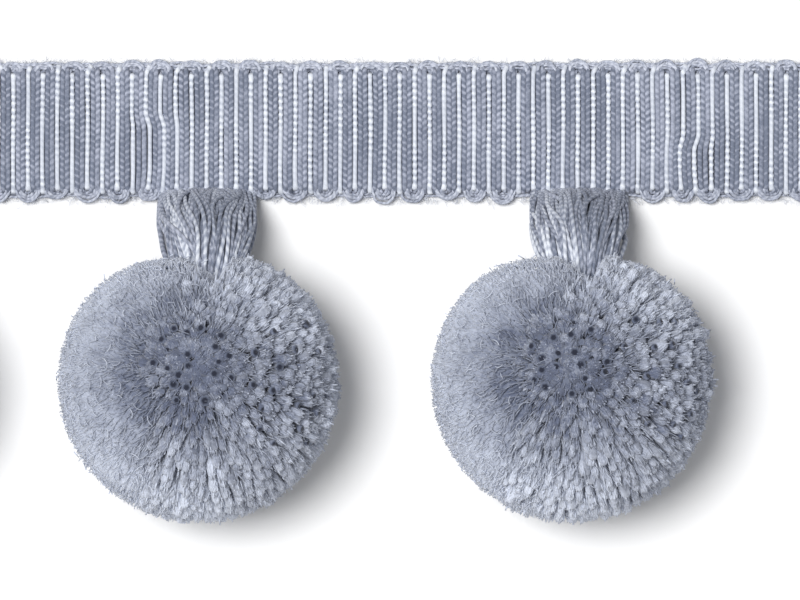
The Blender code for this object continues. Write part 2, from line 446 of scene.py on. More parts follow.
def grey_cords():
    """Two cords for each rib, either side of its middle."""
    rng = np.random.default_rng(1)
    middle = LEFT + RIB_PITCH * (np.arange(RIB_COUNT) + 0.5)
    x = np.stack([middle - CORD_ASIDE, middle + CORD_ASIDE], 1).ravel()
    y = np.tile(np.linspace(RIBS_BOTTOM - 0.4, RIBS_TOP + 0.4, 21), (len(x), 1))
    path = straight_paths(x, y, RIB_HEIGHT - CORD_RADIUS)
    hand = np.tile([1, -1], RIB_COUNT)[:, None]
    turns = hand * (y / CORD_TWIST + np.repeat(rng.uniform(0, 1, RIB_COUNT), 2)[:, None]) + 0.25
    tint = 0.31 + 0.34 * drift(path[..., :2], 7, 3) + rng.uniform(-0.2, 0.2, (len(x), 1))
    # ply sets how strongly the twist's bumps, its painted shade and its painted highlights show.
    ply = 0.8 + 0.6 * drift(path[..., :2], 2.5, 4)
    return tubes(wander(path), CORD_RADIUS, 6, UP, turns, tint=tint, shine=0.0, ply=ply)


def silver_threads():
    """A thread between each two ribs: where its twist is tight, its radius follows
    cos(2 pi turns), and so does a painted highlight that pales each bead. It has a knob at both ends,
    painted with a highlight. Every second one runs on past the ribs at the top, and the others do so at
    the bottom, slanting to the right.
    """
    rng = np.random.default_rng(2)
    x = LEFT + RIB_PITCH * np.arange(1, RIB_COUNT)
    long_top = (np.arange(len(x)) % 2)[:, None]
    start = RIBS_BOTTOM + 0.1 - 0.5 * (1 - long_top) - rng.uniform(0, 0.2, (len(x), 1))
    end = RIBS_TOP - 0.55 + 1.1 * long_top + rng.uniform(0, 0.2, (len(x), 1))
    rings = int((RIB_LENGTH + 0.5) / THREAD_TWIST * THREAD_RINGS) + 1
    y = start + (end - start) * np.linspace(0, 1, rings)
    path = straight_paths(x, y, RIB_HEIGHT - THREAD_RADIUS + 0.04)
    place = path[..., :2] * (1, 0.4)
    bead = ease(drift(place, 5, 21), -0.5, 0.4)
    turns = y / THREAD_TWIST + rng.uniform(0, 1, (len(x), 1))
    knob = (0.5 + 0.5 * long_top) * hill(y - y[:, :1], KNOB_PLACE, KNOB_SIZE)
    knob = knob + (1 - 0.7 * long_top) * hill(y, y[:, -1:] - KNOB_PLACE, KNOB_SIZE)
    slant = ease(y, RIBS_TOP - 0.4, RIBS_TOP + 0.7) + ease(-y, 0.3 - RIBS_BOTTOM, 0.8 - RIBS_BOTTOM)
    path[..., 0] += bead * 0.07 * np.sin(2 * np.pi * turns) + slant * rng.uniform(0.1, 0.5, (len(x), 1))
    path[..., 2] += 0.2 * knob
    bead = bead * (1 - knob)
    pinch = bead * np.cos(2 * np.pi * turns)
    radius = THREAD_RADIUS * (1 + 0.12 * drift(place, 3, 22) + 0.3 * knob + 0.14 * pinch)
    # Painted highlights: the knob and each bead's bulge are made paler.
    tint = 0.75 + 0.2 * drift(place, 4, 23) + 0.4 * knob + 0.25 * pinch
    ply = 0.2 + 0.45 * bead
    return tubes(wander(path), radius, 5, UP, turns, 0.14 * bead, tint=tint, shine=1.0, ply=ply)


# %% [markdown]
# At both edges the yarn turns back: it goes up one rib, round the end of a silver thread, and down the next
# rib. So each loop is a half oval over every second silver thread, and the loops of the two edges sit over
# alternate threads. Under a neck there are no loops, because that yarn runs on down into the neck.

# %% Loops at the edges
LOOP_TWIST, LOOP_RINGS = 0.8, 13
NECK_X = np.array([box_mm(name)[0][0] + box_mm(name)[1][0] for name in NECKS]) / 2
NECK_HALF = (box_mm(NECKS[0])[1][0] - box_mm(NECKS[0])[0][0]) / 2


def loop_paths(x, base, half_width, reach):
    """Half ovals in the braid's plane: x + a cos t, base + b sin t, lowest in the middle of their run."""
    t = np.linspace(math.pi * 1.06, -math.pi * 0.06, LOOP_RINGS)
    path = np.empty((len(x), LOOP_RINGS, 3))
    path[..., 0] = x + half_width * np.cos(t)
    path[..., 1] = base + reach * np.sin(t)
    path[..., 2] = 1.15 + 0.75 * np.abs(np.cos(t))
    return path


def edge_loops():
    """Strands one inside another round every second thread's end. At the top the inner ones are darker."""
    rng = np.random.default_rng(5)
    ends = LEFT + RIB_PITCH * np.arange(1, RIB_COUNT)
    top, bottom = ends[::2], ends[1::2]
    bottom = bottom[np.abs(bottom[:, None] - NECK_X).min(1) > NECK_HALF + 1.0]
    kinds = (
        # where, side, base past the ribs, half width, reach, radius, tint, shine
        (top, 1, 0.05, 1.46, 1.22, 0.20, 0.70, 0.20),
        (top, 1, 0.05, 1.20, 0.98, 0.26, 0.95, 0.35),
        (top, 1, -0.10, 0.84, 0.70, 0.25, 0.50, 0.10),
        (top, 1, -0.35, 0.50, 0.50, 0.28, 0.30, 0.05),
        (bottom, -1, 0.05, 1.52, 1.54, 0.22, 0.75, 0.25),
        (bottom, -1, 0.05, 1.20, 1.22, 0.26, 0.75, 0.35),
        (bottom, -1, 0.05, 0.84, 0.84, 0.25, 0.70, 0.20),
        (bottom, -1, -0.05, 0.46, 0.48, 0.26, 0.70, 0.10),
    )
    shapes = {side: rng.normal(0, 1, (3, len(x), 1)) for x, side in ((top, 1), (bottom, -1))}
    made = []
    for x, side, past, half_width, reach, radius, tint, shine in kinds:
        sideways, wide, tall = shapes[side] + rng.normal(0, 0.5, (3, len(x), 1))
        base = RIBS_TOP + past if side > 0 else RIBS_BOTTOM - past
        middle = x[:, None] + 0.15 * sideways
        path = loop_paths(middle, base, half_width * (1 + 0.07 * wide), side * reach * (1 + 0.13 * tall))
        path += 0.13 * np.stack([drift(path, 1.6, seed) for seed in (61, 62, 63)], -1)
        length = np.cumsum(np.linalg.norm(np.diff(path, axis=1, prepend=path[:, :1]), axis=-1), 1)
        turns = length / LOOP_TWIST + rng.uniform(0, 1, (len(x), 1))
        tints = tint + rng.uniform(-0.15, 0.15, (len(x), 1)) + 0.25 * drift(path[..., :2], 1.2, 6)
        shines = np.clip(shine + rng.uniform(-0.15, 0.15, (len(x), 1)), 0, 1)
        made.append(tubes(wander(path), radius, 5, UP, turns, 0.05, tint=tints, shine=shines, ply=0.6))
    return made


def edge_runners():
    """Thin strands that run along both edges among the loops, each wandering by its own drift."""
    x = np.arange(LEFT + 0.4, RIGHT - 0.4, 0.5)
    starts = ((RIBS_TOP + 0.35, 1.75), (RIBS_TOP + 0.7, 1.55), (RIBS_TOP + 0.95, 1.3))
    starts += ((RIBS_BOTTOM - 0.5, 1.3), (RIBS_BOTTOM - 0.85, 1.1))
    path = np.empty((len(starts), len(x), 3))
    path[..., 0] = x
    for strand, (y, z) in enumerate(starts):
        path[strand, :, 1] = y + 0.2 * drift(x[:, None], 3, 71 + strand)
        path[strand, :, 2] = z + 0.3 * drift(x[:, None], 2.2, 81 + strand)
    tint = 0.75 + 0.3 * drift(path, 2, 90)
    return tubes(path, 0.2, 5, UP, x / LOOP_TWIST, 0.08, tint=tint, shine=0.25, ply=0.9)


# %% [markdown]
# Loose fibre ends stand out along both edges of the braid. They are too fine to be seen one by one, and
# soften the outline. With them the braid is complete, and its four pieces are made.

# %% Edge fuzz, and the braid's pieces
FUZZ_HAIRS = 5500


def edge_fuzz(count):
    """Short straight hairs at random places along both edges, pointing away from the braid."""
    rng = np.random.default_rng(8)
    side = rng.choice([-1.0, 1.0], count, p=[0.35, 0.65])
    root = np.empty((count, 3))
    root[:, 0] = rng.uniform(LEFT + 0.3, RIGHT - 0.3, count)
    root[:, 1] = np.where(side > 0, RIBS_TOP + 0.75, RIBS_BOTTOM - 1.15) + rng.normal(0, 0.3, count)
    root[:, 2] = rng.uniform(0.5, 1.7, count)
    along, out, up = rng.normal(0, 0.8, count), side * rng.uniform(0.2, 1, count), rng.normal(0, 0.3, count)
    tip = root + unit(np.stack([along, out, up], -1)) * rng.uniform(0.3, 1.0, (count, 1))
    path = np.stack([root, tip], 1)
    radii = np.array([0.028, 0.018])
    return tubes(path, radii, 3, np.array([0.3, 0.2, 1.0]), tint=1.3, shine=0.6, ply=0.0)


ground = make_piece("braid_ground", [ground_sheet()], braid_finish, ["heading"])
cords = make_piece("braid_ribs", [grey_cords()], braid_finish, ["heading"])
threads = make_piece("silver_threads", [silver_threads()], braid_finish, ["heading"])
edge_yarn = edge_loops() + [edge_runners(), edge_fuzz(FUZZ_HAIRS)]
loops = make_piece("edge_loops", edge_yarn, braid_finish, ["heading"])

# %% [markdown]
# A neck is the braid's own yarn running on past its edge. Its loops bow up off the table, narrow, and go
# into the pompom. The bundle is described by an oval that moves along a curve: each strand keeps its place
# in the oval, and drifts a little sideways so that strands cross.

# %% The necks' curve and oval
NECK_DOWN = (-0.4, 0.6, 2.4, 4.4, 6.6, 9.0, 11.7, 15.0)  # below the ribs
NECK_HEIGHT = (1.3, 1.4, 4.0, 8.0, 12.0, 15.6, 17.6, 18.2)
NECK_WIDE = (6.3, 6.4, 6.55, 6.6, 6.3, 5.4, 4.2, 2.7)  # half the oval's width
NECK_DEEP = (0.6, 0.8, 2.3, 3.4, 4.0, 3.9, 3.4, 2.6)  # half its depth


def smooth_table(numbers, share):
    """A short table read at shares 0 to 1 of its length: each read is the mean of seven near it."""
    spread = np.linspace(-0.06, 0.06, 7)
    read = np.interp(np.clip(share[..., None] + spread, 0, 1), np.linspace(0, 1, len(numbers)), numbers)
    return read.mean(-1)


def neck_paths(neck, sideways, layer, share):
    """Paths of strands in a neck: sideways and layer are each strand's place in the oval, from -1 to 1.

    The point is the curve's middle + half width * sideways across + half depth * layer * sqrt(1 - sideways^2)
    square to the curve.
    """
    low, high = box_mm(neck)
    middle_x = (low[0] + high[0]) / 2
    down, height = smooth_table(NECK_DOWN, share), smooth_table(NECK_HEIGHT, share)
    slope = np.arctan2(np.gradient(height), np.gradient(down))
    deep = smooth_table(NECK_DEEP, share) * layer * np.sqrt(np.clip(1 - sideways**2, 0, 1))
    x = middle_x + smooth_table(NECK_WIDE, share) * sideways
    y = RIBS_BOTTOM - down + deep * np.sin(slope)
    z = height + deep * np.cos(slope)
    return np.stack(np.broadcast_arrays(x, y, z), -1)


top_path = neck_paths(NECKS[0], np.zeros((1, 1)), 1.0, np.linspace(0, 1, 25))[0]
print(f"a neck's top strand is {np.linalg.norm(np.diff(top_path, axis=0), axis=-1).sum():.1f} mm long")

# %% [markdown]
# Silver and grey strands are mixed in a neck, and they lie in layers that gather and cross by different
# amounts. A slightly smaller oval behind them, painted dark as the shade between the strands, closes the
# gaps.

# %% The necks' strands
STRAND_LENGTH, STRAND_TWIST = 24, 1.1
BUNDLE_SIDES = 18
NECK_LAYERS = (
    # strands, layer, radius, slant, gather
    (17, 1.0, 0.29, 0.3, 0.4),
    (32, 0.87, 0.31, 0.04, 0.0),
    (15, 0.95, 0.27, 0.5, 0.3),
    (12, -1.0, 0.38, 0.1, 0.0),
)


def neck_strands(neck, seed, count, layer, radius, slant, gather):
    """Strands side by side in one layer of a neck, waving, drifting across one another and gathering inwards.

    About every third one is silver, and more of them on the left. Painted shade makes strands darkest on
    the right and halfway down the middle, and painted highlights make the silver ones paler and more silvery
    low down and on the left; the grey ones are darker low down.
    """
    rng = np.random.default_rng(seed)
    share = np.linspace(0, 1, 25)
    place = ((np.arange(count) + 0.5) / count * 2 - 1)[:, None]
    cross = rng.normal(0, slant, (count, 1)) * np.sin(np.pi * share * rng.uniform(0.4, 1.2, (count, 1)))
    waves = rng.uniform(1.2, 2.4, (count, 1)) * share
    wave = 0.05 * np.sin(2 * np.pi * (waves + rng.uniform(0, 1, (count, 1))))
    inwards = 1 - gather * ease(share, 0.15, 0.8)
    sideways = np.clip(place * inwards + cross + wave + rng.normal(0, 0.15 * slant, (count, 1)), -0.98, 0.98)
    depth = layer * (rng.uniform(0.88, 1.05, (count, 1)) + 0.06 * np.sin(2 * np.pi * (share + place)))
    path = neck_paths(neck, sideways, depth, share)
    silver = rng.uniform(size=(count, 1)) < 0.34 - 0.14 * place
    hand = rng.choice([-1, 1], (count, 1))
    turns = hand * share * STRAND_LENGTH / STRAND_TWIST + rng.uniform(0, 1, (count, 1))
    # Painted light: shade on the right and halfway down the middle, and highlights on the silver strands low
    # down and on the left.
    low = ease(share, 0.6, 0.85)
    middle = hill(sideways, 0.1, 0.5) * ease(share, 0.2, 0.5) * (1 - low)
    shade = 0.3 * ease(sideways, 0.4, 0.9) + 0.6 * middle - 0.1
    left = ease(-sideways, 0.3, 0.8) * ease(share, 0.2, 0.45)
    tint = np.where(silver, 0.5 + 0.2 * low + 0.3 * left, 0.58 - 0.25 * low)
    tint = tint + rng.uniform(-0.4, 0.3, (count, 1)) - shade
    shine = np.where(silver, 0.6 + 0.4 * np.maximum(low, left), 0.05)
    return tubes(path, radius, 6, np.array([0, 0.4, 1.0]), turns, 0.06, tint=tint, shine=shine, ply=0.9)


def neck_core(neck):
    """A smooth oval bundle inside the strands, painted dark as the shade between them."""
    share = np.linspace(0, 1, 20)
    angle = 2 * np.pi * np.arange(BUNDLE_SIDES) / BUNDLE_SIDES
    rings = [neck_paths(neck, 0.9 * np.cos(a), 0.74 * np.sign(np.sin(a + 1e-9)), share) for a in angle]
    ring = np.stack(rings, 1)[None]
    ring[..., 2] = np.maximum(ring[..., 2], 3 * TABLE_GAP)
    # tint 0.2: painted shade between the strands.
    return loft(ring, turn=0.0, tint=0.2, shine=0.0, ply=0.0)


for number, neck in enumerate(NECKS):
    seed = 30 + 7 * number
    layers = [neck_core(neck)]
    layers += [neck_strands(neck, seed + k, *numbers) for k, numbers in enumerate(NECK_LAYERS)]
    make_piece(f"neck_strands_{number + 1}", layers, braid_finish, [neck])

# %% [markdown]
# A pompom is hundreds of tufts of yarn bound in the middle and clipped to a ball. The pile is seen end on
# at one spot, its crown, and is painted dark there as shade; everywhere else the tufts lean away from that
# spot, most of all on the side away from the braid, where they lie in rows. Painted light makes the pile
# palest round the edge of the brushed side. On the -x side the pile has been brushed: tufts no longer show,
# and what is left is a felted surface with fine fibres lying on it. All of this is said with unit vectors
# from the ball's middle, so the first helpers tell what the pile is like along such a vector.

# %% The pompoms' form and pile
BALL_RADIUS = 18.7
SINK = 2.0  # how much a pompom is flattened underneath
CROWN = unit(np.array([-0.03, 0.15, 1.0]))
CROWN_SIDE = unit(np.cross(CROWN, [0, 1, 0]))
CROWN_OTHER = np.cross(CROWN, CROWN_SIDE)


def ball_middle(pompom):
    """The middle of a ball whose lowest part, SINK high, is pressed level on the table."""
    low, high = box_mm(pompom)
    return np.array([(low[0] + high[0]) / 2, low[1] + BALL_RADIUS, BALL_RADIUS - SINK])


def ball_reach(ways, dent=0.12, dent_degrees=30.0):
    """How far the ball reaches along each unit vector: dented at the neck, and level underneath."""
    off_neck = np.degrees(np.arccos(np.clip(ways[..., 1], -1, 1)))
    reach = BALL_RADIUS * (1 - dent * hill(off_neck, 0, dent_degrees))
    floor = (BALL_RADIUS - SINK - 0.15) / np.maximum(-ways[..., 2], 0.01)
    return np.minimum(reach, floor)


def off_crown(ways):
    """Each unit vector's angle from the crown, in degrees."""
    return np.degrees(np.arccos(np.clip(ways @ CROWN, -1, 1)))


def brushed_share(ways, seed):
    """0 where tufts stand apart, and 1 on the -x side, where they have been brushed, but not at the crown."""
    side = ease(0.25 * ways[..., 1] - ways[..., 0] + 0.25 * drift(ways, 0.5, seed), -0.1, 0.4)
    return side * (1 - hill(off_crown(ways), 0, 24))


def pile_tone_and_painted_light(ways, seed):
    """How pale the pile is painted at each unit vector: painted shade darkens it at the crown, where the
    tufts are seen end on, and painted light makes it palest round the brushed side's edge and paler on the
    neck's side and a little on the far side. A drift adds uneven tone.
    """
    right, off = ease(ways[..., 0], -0.1, 0.6), off_crown(ways)
    rise = (0.95 - 0.57 * right) * ease(off, 12, 88) + 0.16 * right * ease(off, 5, 30)
    rise += (0.12 + 0.17 * right) * ease(ways[..., 1], 0.1, 0.7) + 0.05 * ease(-ways[..., 1], 0.2, 0.7)
    return rise + (0.06 + 0.06 * right) * drift(ways, 0.25, seed + 2)


def lies_below(ways):
    """0 to 1 towards the side away from the braid, where the tufts lie in rows."""
    return ease(-ways[..., 1] - 0.3 * ways[..., 0], -0.1, 0.5)


def row_drift(ways, seed):
    """Drift that changes only with the angle about the crown, so that it is the same all along a row."""
    across = np.stack([ways @ CROWN_SIDE, ways @ CROWN_OTHER], -1)
    return drift(unit(across), 0.09, seed)


print(f"a pompom reaches {ball_reach(np.array([0, 1, 0])):.1f} mm at the neck and {BALL_RADIUS} mm elsewhere")

# %% [markdown]
# Evenly spread points look like a machine's work. So the tufts' places start even, are bunched by a drift
# field, and are combed into rows. Real pile also opens into small pits, at the crown and on the +x side:
# the emptiest spots are found, and the tufts round each are moved away from it.

# %% Where the tufts stand
TUFTS, ROWS = 1800, 76
MATTED = 0.65  # brushed more than this, a tuft no longer shows
CROWN_PITS, SIDE_PITS = 28, 16
PIT_SPOTS = 8000  # looked at to find the emptiest
PIT_WIDTH, PIT_CLEAR = 0.035, 0.027  # how far tufts and fibres keep off a pit, on the unit ball
PARTING_START, PARTING_ASIDE, PARTING_HEIGHT = 13.8, 1.6, 7  # of the V that leaves room for the neck


def emptiest(spots, ways, count, apart):
    """Of the spots, those farthest from any way, and at least an angle apart from each other."""
    chosen = []
    for spot in spots[np.argsort((spots @ ways.T).max(1))]:
        if all(spot @ other < math.cos(apart) for other in chosen):
            chosen.append(spot)
    return np.array(chosen[:count])


def opened(ways, pits, width):
    """Unit vectors moved away from the nearest pit: from a distance r to about sqrt(r^2 + width^2).

    The move fades out over three widths.
    """
    away = ways[:, None] - pits
    distance = np.linalg.norm(away, axis=-1)
    nearest = distance.argmin(1)
    r = distance.min(1)[:, None]
    away = away[np.arange(len(ways)), nearest] / np.maximum(r, 0.001)
    return unit(ways + away * (np.hypot(r, width) - r) * hill(r, 0, 3 * width))


def spread_ways(count, rng):
    """Unit vectors spread evenly by the golden angle, then shaken a little."""
    number = np.arange(count) + 0.5
    height = 1 - 2 * number / count
    turn = number * GOLDEN_ANGLE + rng.uniform(0, 6)
    level = np.sqrt(1 - height**2)
    ways = np.stack([level * np.cos(turn), height, level * np.sin(turn)], -1)
    return unit(ways + rng.normal(0, 0.6 / math.sqrt(count), ways.shape))


def combed(ways, strength):
    """Unit vectors turned about the crown, from angle t to t - strength sin(ROWS t) / ROWS, into rows."""
    up, side, forth = ways @ CROWN, ways @ CROWN_SIDE, ways @ CROWN_OTHER
    turn, out = np.arctan2(forth, side), np.hypot(side, forth)
    turn = turn - strength * np.sin(ROWS * turn) / ROWS
    side, forth = out * np.cos(turn), out * np.sin(turn)
    return up[:, None] * CROWN + side[:, None] * CROWN_SIDE + forth[:, None] * CROWN_OTHER


def leaning(ways, lean):
    """Unit vectors tipped away from the crown: the way out + lean * the way along the ball from the crown."""
    along = (ways @ CROWN)[:, None] * ways - CROWN
    return unit(ways + lean[:, None] * along / np.maximum(np.linalg.norm(along, axis=-1, keepdims=True), 0.2))


def part_for_neck(tips, middle, neck_x):
    """Pushes tips that stand over the neck sideways, to the edges of a V that opens towards the braid."""
    moved = tips.copy()
    up_neck = moved[:, 1] - middle[1] - PARTING_START
    across = moved[:, 0] - neck_x - PARTING_ASIDE + 0.4 * up_neck
    opening = 0.3 + 1.1 * up_neck
    inside = (moved[:, 2] > PARTING_HEIGHT) & (opening > 0) & (np.abs(across) < opening)
    pushed = np.sign(across) * (opening + 0.3 * np.abs(across)) - across
    moved[:, 0] += np.where(inside, pushed, 0)
    return moved


def square_to(ways):
    """Two unit vectors square to each way and to each other."""
    side = unit(np.cross(ways, [0.3, 0.5, 0.8]))
    return side, np.cross(ways, side)


def tuft_ways(seed):
    """Unit vectors to the tufts and to the pits between them.

    A drift field bunches neighbours together, they are combed into rows, and they stand apart round the pits,
    which are close together at the crown and farther apart on the +x side.
    """
    rng = np.random.default_rng(seed)
    ways = spread_ways(TUFTS, rng)
    bunching = np.stack([drift(ways, 0.2, seed + k) for k in (41, 42, 43)], -1)
    ways = unit(ways + 0.035 * bunching * ease(off_crown(ways), 15, 45)[:, None])
    ways = combed(ways, 0.35 + 0.55 * lies_below(ways))
    spots = spread_ways(PIT_SPOTS, rng)
    round_crown = spots[off_crown(spots - (0.1, -0.02, 0)) < 16.5]
    on_side = spots[(spots[:, 0] > 0.35) & (spots[:, 2] > 0.4) & (np.abs(spots[:, 1]) < 0.45)]
    crown_pits = emptiest(round_crown, ways, CROWN_PITS, 0.08)
    pits = np.concatenate([crown_pits, emptiest(on_side, ways, SIDE_PITS, 0.15)])
    return opened(ways, pits, PIT_WIDTH), pits


def tufts(ways, middle, neck_x, seed):
    """Where each tuft ends, the way it points, how brushed it is, how pale it is painted with light and
    shade, and how much it leans.
    """
    rng = np.random.default_rng(seed + 1)
    below = lies_below(ways)
    brushed = brushed_share(ways, seed)
    uneven = 0.4 * drift(ways, 0.25, seed + 1) + rng.normal(0, 0.22, TUFTS)
    rows = below * row_drift(ways, seed + 4)
    uneven = uneven * ease(off_crown(ways), 0, 45) * (1 - 0.5 * below) + 0.3 * rows
    tips = part_for_neck(middle + ways * (ball_reach(ways) - 0.1 + uneven)[:, None], middle, neck_x)
    lean = 0.25 + 1.3 * below + 0.9 * ease(ways[:, 1] + 0.3 * ways[:, 0], 0.5, 0.9)
    lean += 0.4 * ease(ways[:, 0], 0.3, 0.9) + rng.normal(0, 0.1, TUFTS)
    pointing = leaning(unit(tips - middle), lean)
    # pale carries painted light and shade: dark at the crown and paler towards the rim.
    pale = pile_tone_and_painted_light(ways, seed) + 0.14 * rows
    kept = brushed < MATTED
    return [part[kept] for part in (tips, pointing, brushed, pale, lean)]


places, pits = tuft_ways(0)
shown = (brushed_share(places, 0) < MATTED).sum()
print(f"{len(places)} tufts, of which {shown} show, and {len(pits)} pits")

# %% [markdown]
# A tuft is a short thick tube, pale at its end, with painted shade at its root. A pit is one as well,
# painted dark all through as the shade of a hollow: it ends level with the tufts round it, and its rim
# fades into them.

# %% Tufts and pits


def tuft_bodies(tips, ways, brushed, pale, lean, rng):
    """A seven-sided body for each tuft, widest a little way down and rounded over at its end.

    The ends are flatter and wider at the crown, where they are seen end on and close up between the pits.
    """
    length, low = 4.5 + 2 * lean[:, None], ease(lean[:, None], 0.4, 1.1)
    depth = np.concatenate([length, 0.45 * length, np.tile([1.3, 0.5, 0.1], (len(tips), 1))], 1)
    path = tips[:, None] - ways[:, None] * (depth + 0.35 * brushed[:, None])[..., None]
    path[:, :2] += rng.normal(0, 0.15, (len(tips), 2, 3))
    flat = hill(off_crown(ways)[:, None], 0, 32)
    profile = np.array([0.5, 0.85, 1.0, 0.9, 0.5]) + flat * np.array([0, 0, 0, 0.1, 0.42])
    radii = (0.94 + 0.28 * flat - 0.24 * low) * rng.uniform(0.82 + 0.1 * flat, 1.08) * profile
    tint = pale[:, None] + rng.uniform(-0.16, 0.16, (len(tips), 1)) * (1 - 0.6 * flat - 0.4 * low)
    tint = tint + np.array([0, 0, 0, 0.04, 0.1]) * (1 - flat)
    turns = rng.uniform(0, 1, (len(tips), 1))
    up = rng.normal(size=(len(tips), 1, 3))
    # Painted shade: along is low at each tuft's root, less where the tufts lie flat.
    along = np.clip(np.array([0, 0.45, 0.85, 1, 1]) + 0.42 * low, 0, 1)
    return tubes(path, radii, 7, up, turns, 0.12, tint=tint, along=along, ply=1.0)


def pit_shade_plugs(pits, middle, rng):
    """A small dark plug in each pit, level with the tufts' ends, with a soft edge: painted shade that stands
    for a hollow.

    About a third of those at the crown are faint, and all get smaller away from it.
    """
    depth = np.array([1.1, 0.2, 0.1, 0.03])
    path = middle + pits[:, None] * (ball_reach(pits)[:, None] - depth)[..., None]
    path[:, 2:] += rng.normal(0, 0.05, (len(pits), 1, 3))
    off = off_crown(pits)[:, None]
    faint = (rng.uniform(size=off.shape) < 0.35) * (off < 24)
    size = rng.uniform(0.8, 1.2, off.shape) * (1 - 0.25 * faint) * (1.1 - 0.25 * ease(off, 10, 40))
    radii = size * np.array([0.4, 0.68, 0.5, 0.28])
    # Painted shade: along stays low, so the plug is near black, and the faint ones a little less so.
    along = np.array([0.3, 0.75, 0.13, 0.0]) + 0.3 * faint
    turns = rng.uniform(0, 1, (len(pits), 1))
    return tubes(path, radii, 6, np.array([0.4, 0.9, 0.1]), turns, 0.2, tint=0.1, along=along, ply=0.0)


# %% [markdown]
# Fine fibres soften all this. Loose ends stand out of each tuft, short fibres lie over the brushed side and
# the crown, a few curl there, and very fine hairs stand out of the ball all over. All are three-sided, and
# the straight ones have no rings between their ends, because there are thousands of them.

# %% Fine fibres
ENDS_PER_TUFT = 3
LYING_FIBRES, STRAY_HAIRS, CURLS = 10500, 2400, 900  # on a whole ball, before some are left out
FIBRE_ALONG = np.array([0.8, 1])


def tuft_ends(tips, ways, pale, rng):
    """Loose fibre ends that stand a little out of each tuft, at golden angles round its middle."""
    number = np.arange(ENDS_PER_TUFT) + 0.5
    angle = number * GOLDEN_ANGLE + rng.uniform(0, 2 * np.pi, (len(tips), 1))
    side, other = square_to(ways)
    round_it = np.cos(angle)[..., None] * side[:, None] + np.sin(angle)[..., None] * other[:, None]
    off = rng.uniform(0.2, 0.75, (*angle.shape, 1))
    out = 0.25 - 0.5 * off**2 + rng.normal(0, 0.1, off.shape)
    tip = tips[:, None] + off * round_it + ways[:, None] * out
    root = tip - unit(ways[:, None] + 0.15 * round_it) * 1.2
    path = np.stack([root, tip], 2).reshape(-1, 2, 3)
    tint = (pale[:, None] + rng.uniform(0, 0.4, angle.shape)).reshape(-1, 1)
    up = rng.normal(size=(len(path), 1, 3))
    return tubes(path, np.array([0.17, 0.12]), 3, up, tint=tint, along=FIBRE_ALONG, ply=0.0)


def lying_fibres(pits, middle, neck_x, seed, rng):
    """Fine fibres, mostly on the brushed side and at the crown, that lie away from the crown.

    They lie a little astray. There are fewer underneath, and none over a pit.
    """
    ways = spread_ways(LYING_FIBRES, rng)
    cover = np.maximum(brushed_share(ways, seed), 0.95 * hill(off_crown(ways), 0, 28))
    thinning = 0.35 * ease(-ways[:, 2], 0.35, 0.5) + ease(-ways[:, 2], 0.8, 0.95)
    ways = ways[cover - thinning > rng.uniform(-0.15, 0.6, LYING_FIBRES)]
    fibre_middles = unit(ways + 0.02 * unit(CROWN - ways))
    ways = ways[(fibre_middles @ pits.T).max(1) < math.cos(PIT_CLEAR)]
    lie = leaning(ways, np.full(len(ways), 1.3)) + rng.normal(0, 0.3, ways.shape)
    height = rng.normal(0.1, 0.09, (len(ways), 1)) + 0.15 * drift(ways, 0.2, seed + 3)[:, None]
    tip = part_for_neck(middle + ways * (ball_reach(ways)[:, None] + height), middle, neck_x)
    root = tip - unit(lie) * rng.uniform(1.0, 1.9, (len(ways), 1))
    path = np.stack([root, tip], 1)
    tint = (pile_tone_and_painted_light(ways, seed) + rng.uniform(-0.08, 0.18, len(ways)))[:, None]
    return tubes(path, np.array([0.1, 0.06]), 3, ways[:, None], tint=tint, along=FIBRE_ALONG, ply=0.0)


def stray_hairs(middle, neck_x, seed, rng):
    """Very fine short hairs that stand out of the ball all over and soften its outline; far from the crown,
    at the ball's rim, they are painted paler as light.
    """
    ways = spread_ways(STRAY_HAIRS, rng)
    side, other = square_to(ways)
    lean, turned = rng.normal(0, 0.6, (2, STRAY_HAIRS, 1))
    root = part_for_neck(middle + ways * (ball_reach(ways) - 0.4)[:, None], middle, neck_x)
    tip = root + unit(ways + lean * side + turned * other) * rng.uniform(0.5, 1.05, (STRAY_HAIRS, 1))
    path = np.stack([root, tip], 1)
    # Painted light: hairs far from the crown, at the rim, are made paler.
    tint = (0.3 + pile_tone_and_painted_light(ways, seed) + 0.5 * ease(off_crown(ways), 55, 80))[:, None]
    return tubes(path, np.array([0.04, 0.02]), 3, side[:, None], tint=tint, along=1.0, ply=0.0)


def surface_curls(middle, seed, rng):
    """Short curled fibres lying on the brushed side: arcs square to the way out."""
    ways = spread_ways(CURLS, rng)
    ways = ways[(brushed_share(ways, seed) > 0.6) & (ways[:, 2] > 0.35)]
    side, other = square_to(ways)
    start = rng.uniform(0, 2 * np.pi, (len(ways), 1))
    angle = (start + np.linspace(0, 1, 5) * rng.uniform(0.8, 1.9, (len(ways), 1)))[..., None]
    size = rng.uniform(0.6, 1.3, (len(ways), 1, 1))
    centre = middle + ways * (ball_reach(ways) + 0.25)[:, None]
    path = centre[:, None] + size * (np.cos(angle) * side[:, None] + np.sin(angle) * other[:, None])
    tint = pile_tone_and_painted_light(ways, seed)[:, None] + rng.uniform(0, 0.45, (len(ways), 1))
    return tubes(path, 0.07, 3, ways[:, None], tint=tint, along=1.0, ply=0.0)


# %% [markdown]
# Behind the tufts is the felted inside. It is one surface worked out from two angles, deep under the
# tufts, where it is painted dark as shade, and it comes up to be the ball's own surface where the pile is
# brushed. It is painted darker underneath as well. With it a pompom is complete.

# %% The felted inside, and the pompoms' pieces
CORE_RINGS, CORE_SIDES = 56, 88


